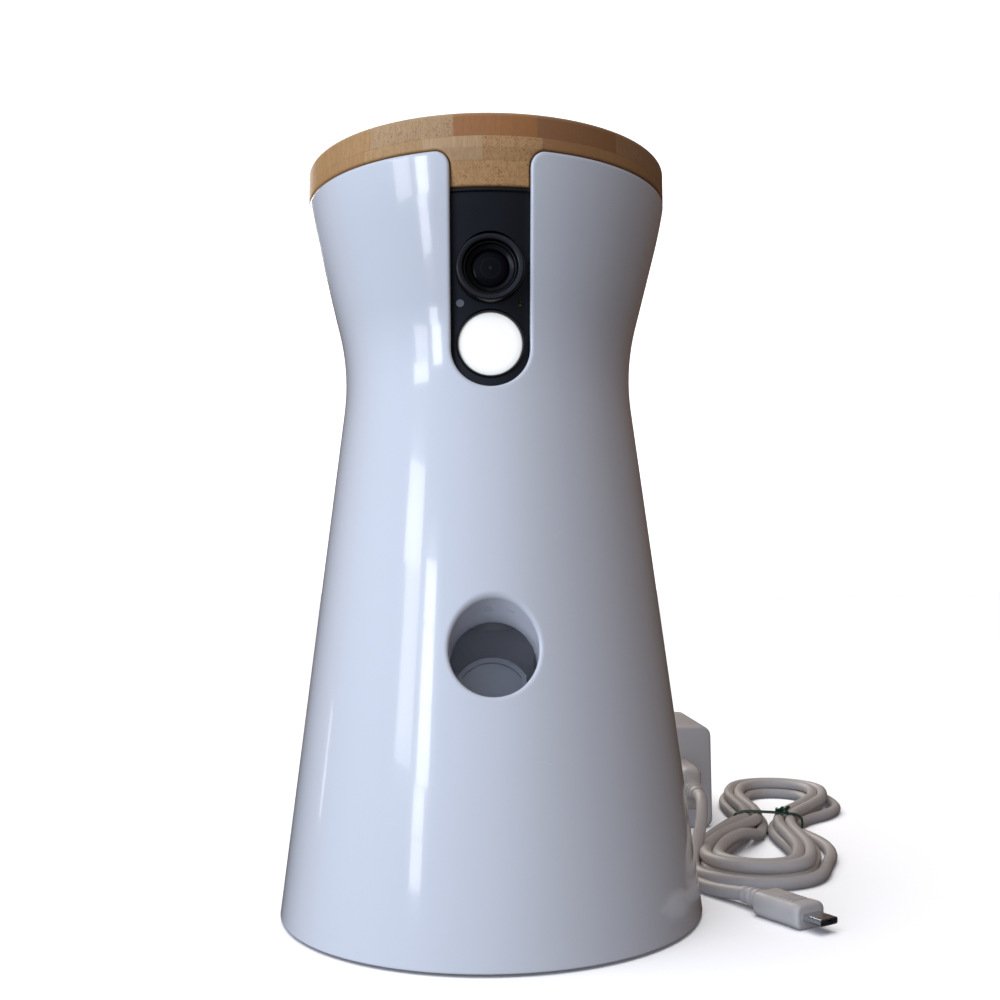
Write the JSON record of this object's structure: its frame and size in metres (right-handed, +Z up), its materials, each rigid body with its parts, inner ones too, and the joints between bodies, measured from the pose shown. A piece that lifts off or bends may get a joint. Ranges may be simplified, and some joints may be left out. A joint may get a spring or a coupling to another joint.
{
  "type": "treat tossing pet camera",
  "caption": "Hourglass white casing with a wooden lid over a treat hopper, a camera strip and a sloped tunnel that a sprung paddle throws treats out of, with its power adapter and tied cord.",
  "frame": {"origin": "centre of the casing's round foot, on the surface it stands on", "axes": "+Z up along the casing's axis; -Y points to the front, where the lens and the treat hole are; +X is the viewer's right when facing the front"},
  "size_m": [0.2145, 0.2311, 0.225],
  "materials": {
    "shell_white": "high gloss injection moulded white",
    "tunnel_white": "satin white",
    "inner_white": "fine matt white",
    "foot_rubber": "matt black",
    "light_guide": "frosted translucent",
    "steel_zinc": "zinc plated",
    "frame_grey": "matt light grey",
    "rotor_orange": "matt orange",
    "motor_steel": "brushed can",
    "launcher_pale": "matt pale grey",
    "paddle_grey": "satin grey",
    "gear_acetal": "waxy natural acetal",
    "spring_steel": "bright spring wire",
    "pinion_brass": "turned brass",
    "panel_black": "satin black",
    "bezel_black": "satin to gloss black",
    "lens_glass": "coated lens glass",
    "board_green": "solder mask",
    "window_white": "frosted white",
    "sensor_grey": "smoked clear",
    "speaker_dark": "matt black",
    "lid_bamboo": "oiled laminated bamboo",
    "seal_silicone": "soft translucent",
    "adapter_white": "fine satin white",
    "prong_nickel": "nickel plated",
    "cord_grey": "soft light grey vinyl",
    "tie_green": "dark green plastic"
  },
  "bodies": {
    "base_unit": {"outer_shell": "shell_white", "treat_tube": "tunnel_white", "base_plate": "inner_white", "foot_ring": "foot_rubber", "light_ring": "light_guide", "ballast": "steel_zinc", "inner_frame": "frame_grey", "hopper": "inner_white", "rotor_motor": "motor_steel", "treat_chute": "frame_grey", "launcher_frame": "launcher_pale", "launch_spring": "spring_steel", "gear_axle": "steel_zinc", "launcher_motor": "motor_steel", "gear_cover": "launcher_pale", "camera_panel": "panel_black", "lens_bezel": "bezel_black", "lens_ring": "bezel_black", "lens_glass": "lens_glass", "lens_barrel": "bezel_black", "camera_board": "board_green", "sensor_bezel": "bezel_black", "sensor_window": "window_white", "light_sensor": "sensor_grey", "microphone": "pinion_brass", "main_board": "board_green", "shield_can": "motor_steel", "speaker": "speaker_dark", "usb_socket": "steel_zinc", "reset_switch": "speaker_dark", "base_screws": "steel_zinc", "hopper_screws": "steel_zinc", "adapter_case": "adapter_white", "adapter_cover": "adapter_white", "adapter_prongs": "prong_nickel", "adapter_port": "steel_zinc", "usb_a_shell": "steel_zinc", "usb_a_plug": "cord_grey", "cord_lead": "cord_grey", "cord_hank": "cord_grey", "cord_loops": "cord_grey", "cord_tail": "cord_grey", "cord_tie": "tie_green", "micro_usb_plug": "cord_grey", "micro_usb_tip": "steel_zinc"},
    "rotor": {"hopper_rotor": "rotor_orange"},
    "paddle": {"paddle": "paddle_grey", "paddle_pin": "steel_zinc", "sector_gear": "gear_acetal"},
    "wind_gear": {"wind_gear": "gear_acetal"},
    "pinion": {"motor_pinion": "pinion_brass"},
    "reset_button": {"reset_button": "inner_white"},
    "lid": {"lid_wood": "lid_bamboo", "lid_insert": "inner_white", "lid_seal": "seal_silicone", "lid_screws": "steel_zinc"}
  },
  "joints": [
    {"name": "lid_lift", "type": "slide", "parent": "base_unit", "child": "lid", "axis": [0, 0, 1], "range_m": [0, 0.06]},
    {"name": "rotor_spin", "type": "hinge", "parent": "base_unit", "child": "rotor", "pos_m": [0, 0.006, 0.145], "axis": [0, 0, 1], "continuous": true},
    {"name": "wind_gear_turn", "type": "hinge", "parent": "base_unit", "child": "wind_gear", "pos_m": [0.019, -0.00276, 0.05301], "axis": [1, 0, 0], "range_deg": [0, 36]},
    {"name": "pinion_spin", "type": "hinge", "parent": "base_unit", "child": "pinion", "pos_m": [0.019, 0.02043, 0.05922], "axis": [1, 0, 0], "range_deg": [-108, 0]},
    {"name": "paddle_swing", "type": "hinge", "parent": "base_unit", "child": "paddle", "pos_m": [0, -0.0323, 0.0478], "axis": [1, 0, 0], "range_deg": [-54, 0], "stiffness_Nm_per_rad": 0.02, "springref_deg": 20.05},
    {"name": "reset_press", "type": "slide", "parent": "base_unit", "child": "reset_button", "axis": [0, -1, 0], "range_m": [0, 0.001], "stiffness_N_per_m": 200, "springref_m": -0.001}
  ],
  "couplings": [
    {"joint": "pinion_spin", "follows": "wind_gear_turn", "ratio": -3},
    {"joint": "paddle_swing", "follows": "wind_gear_turn", "ratio": -1.5}
  ]
}
